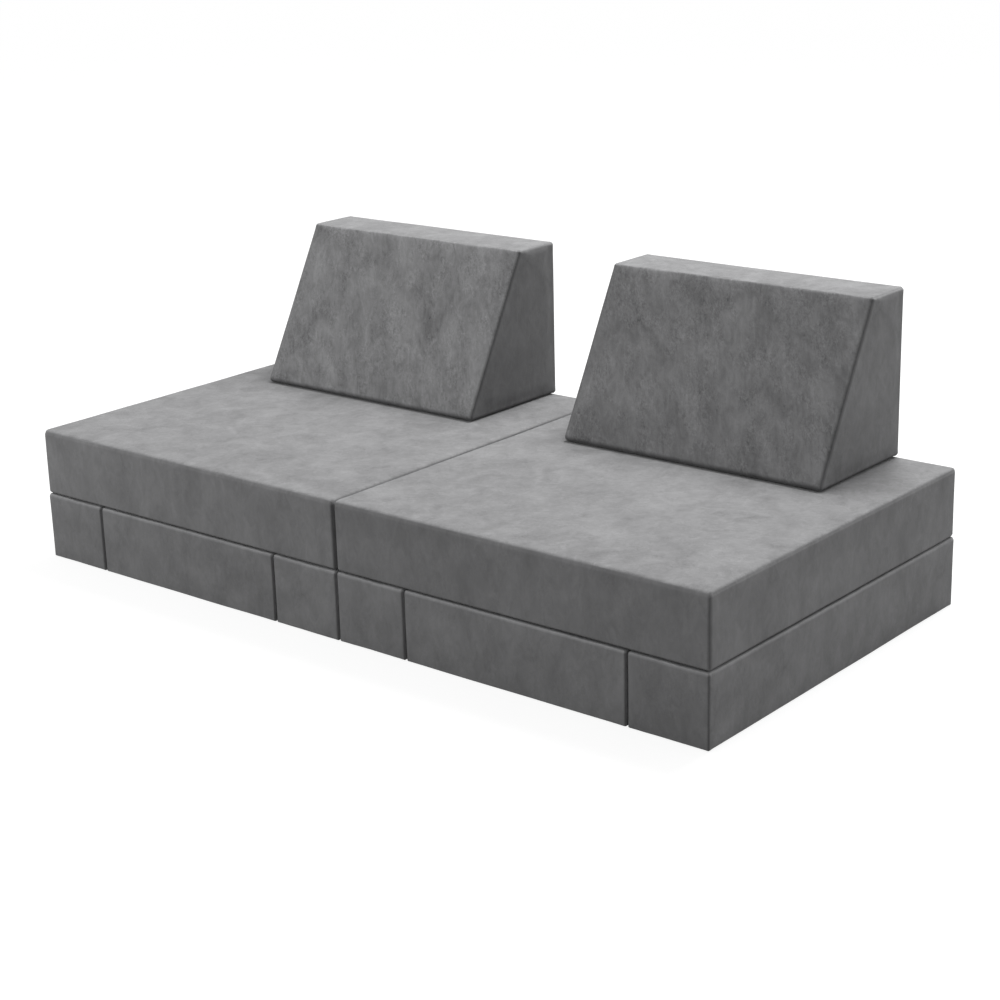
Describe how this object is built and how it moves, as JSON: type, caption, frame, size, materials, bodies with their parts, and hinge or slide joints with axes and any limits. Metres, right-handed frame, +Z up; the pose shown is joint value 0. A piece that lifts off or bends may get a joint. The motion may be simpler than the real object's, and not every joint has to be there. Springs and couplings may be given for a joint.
{
  "type": "modular foam play sofa",
  "caption": "Low modular foam play sofa: square seat slabs on a layer of base blocks with loose wedge backrests, in zipped velvet covers.",
  "frame": {"origin": "on the floor, under the middle of the sofa's footprint", "axes": "+X along the sofa, to the right as seen from the front, +Y towards the back, +Z up, so the front faces -Y"},
  "size_m": [1.6764, 0.8378, 0.6146],
  "materials": {
    "cover_fabric": "matte",
    "foam": "matte",
    "zip_coil": "matte",
    "zip_metal": "satin"
  },
  "bodies": {
    "base_left_middle": {"base_left_middle_cover": "cover_fabric", "base_left_middle_core": "foam", "base_left_middle_zip_tape": "zip_coil"},
    "base_left_middle_zip_slider": {"base_left_middle_zip_slider": "zip_metal"},
    "base_left_outer": {"base_left_outer_cover": "cover_fabric", "base_left_outer_core": "foam", "base_left_outer_zip_tape": "zip_coil"},
    "base_left_outer_zip_slider": {"base_left_outer_zip_slider": "zip_metal"},
    "base_left_inner": {"base_left_inner_cover": "cover_fabric", "base_left_inner_core": "foam", "base_left_inner_zip_tape": "zip_coil"},
    "base_left_inner_zip_slider": {"base_left_inner_zip_slider": "zip_metal"},
    "seat_left": {"seat_left_cover": "cover_fabric", "seat_left_core": "foam", "seat_left_zip_tape": "zip_coil"},
    "seat_left_zip_slider": {"seat_left_zip_slider": "zip_metal"},
    "backrest_left": {"backrest_left_cover": "cover_fabric", "backrest_left_core": "foam", "backrest_left_zip_tape": "zip_coil"},
    "backrest_left_zip_slider": {"backrest_left_zip_slider": "zip_metal"},
    "base_right_middle": {"base_right_middle_cover": "cover_fabric", "base_right_middle_core": "foam", "base_right_middle_zip_tape": "zip_coil"},
    "base_right_middle_zip_slider": {"base_right_middle_zip_slider": "zip_metal"},
    "base_right_outer": {"base_right_outer_cover": "cover_fabric", "base_right_outer_core": "foam", "base_right_outer_zip_tape": "zip_coil"},
    "base_right_outer_zip_slider": {"base_right_outer_zip_slider": "zip_metal"},
    "base_right_inner": {"base_right_inner_cover": "cover_fabric", "base_right_inner_core": "foam", "base_right_inner_zip_tape": "zip_coil"},
    "base_right_inner_zip_slider": {"base_right_inner_zip_slider": "zip_metal"},
    "seat_right": {"seat_right_cover": "cover_fabric", "seat_right_core": "foam", "seat_right_zip_tape": "zip_coil"},
    "seat_right_zip_slider": {"seat_right_zip_slider": "zip_metal"},
    "backrest_right": {"backrest_right_cover": "cover_fabric", "backrest_right_core": "foam", "backrest_right_zip_tape": "zip_coil"},
    "backrest_right_zip_slider": {"backrest_right_zip_slider": "zip_metal"}
  },
  "joints": [
    {"name": "right_half_away", "type": "slide", "parent": "base_left_middle", "child": "base_right_middle", "axis": [1, 0, 0], "range_m": [0, 0.3]},
    {"name": "base_left_outer_out", "type": "slide", "parent": "base_left_middle", "child": "base_left_outer", "axis": [-1, 0, 0], "range_m": [0, 0.22]},
    {"name": "base_left_inner_out", "type": "slide", "parent": "base_left_middle", "child": "base_left_inner", "axis": [0, -1, 0], "range_m": [0, 0.89]},
    {"name": "seat_left_lift", "type": "slide", "parent": "base_left_middle", "child": "seat_left", "axis": [0, 0, 1], "range_m": [0, 0.25]},
    {"name": "backrest_left_lift", "type": "slide", "parent": "seat_left", "child": "backrest_left", "axis": [0, 0, 1], "range_m": [0, 0.2]},
    {"name": "base_right_outer_out", "type": "slide", "parent": "base_right_middle", "child": "base_right_outer", "axis": [1, 0, 0], "range_m": [0, 0.22]},
    {"name": "base_right_inner_out", "type": "slide", "parent": "base_right_middle", "child": "base_right_inner", "axis": [0, -1, 0], "range_m": [0, 0.89]},
    {"name": "seat_right_lift", "type": "slide", "parent": "base_right_middle", "child": "seat_right", "axis": [0, 0, 1], "range_m": [0, 0.25]},
    {"name": "backrest_right_lift", "type": "slide", "parent": "seat_right", "child": "backrest_right", "axis": [0, 0, 1], "range_m": [0, 0.2]},
    {"name": "base_left_middle_zip_run", "type": "slide", "parent": "base_left_middle", "child": "base_left_middle_zip_slider", "axis": [-1, 0, 0], "range_m": [0, 0.2968]},
    {"name": "base_left_outer_zip_run", "type": "slide", "parent": "base_left_outer", "child": "base_left_outer_zip_slider", "axis": [0, 1, 0], "range_m": [0, 0.634]},
    {"name": "base_left_inner_zip_run", "type": "slide", "parent": "base_left_inner", "child": "base_left_inner_zip_slider", "axis": [0, -1, 0], "range_m": [0, 0.634]},
    {"name": "seat_left_zip_run", "type": "slide", "parent": "seat_left", "child": "seat_left_zip_slider", "axis": [-1, 0, 0], "range_m": [0, 0.634]},
    {"name": "backrest_left_zip_run", "type": "slide", "parent": "backrest_left", "child": "backrest_left_zip_slider", "axis": [-1, 0, 0], "range_m": [0, 0.396]},
    {"name": "base_right_middle_zip_run", "type": "slide", "parent": "base_right_middle", "child": "base_right_middle_zip_slider", "axis": [-1, 0, 0], "range_m": [0, 0.2968]},
    {"name": "base_right_outer_zip_run", "type": "slide", "parent": "base_right_outer", "child": "base_right_outer_zip_slider", "axis": [0, -1, 0], "range_m": [0, 0.634]},
    {"name": "base_right_inner_zip_run", "type": "slide", "parent": "base_right_inner", "child": "base_right_inner_zip_slider", "axis": [0, 1, 0], "range_m": [0, 0.634]},
    {"name": "seat_right_zip_run", "type": "slide", "parent": "seat_right", "child": "seat_right_zip_slider", "axis": [-1, 0, 0], "range_m": [0, 0.634]},
    {"name": "backrest_right_zip_run", "type": "slide", "parent": "backrest_right", "child": "backrest_right_zip_slider", "axis": [-1, 0, 0], "range_m": [0, 0.396]}
  ]
}
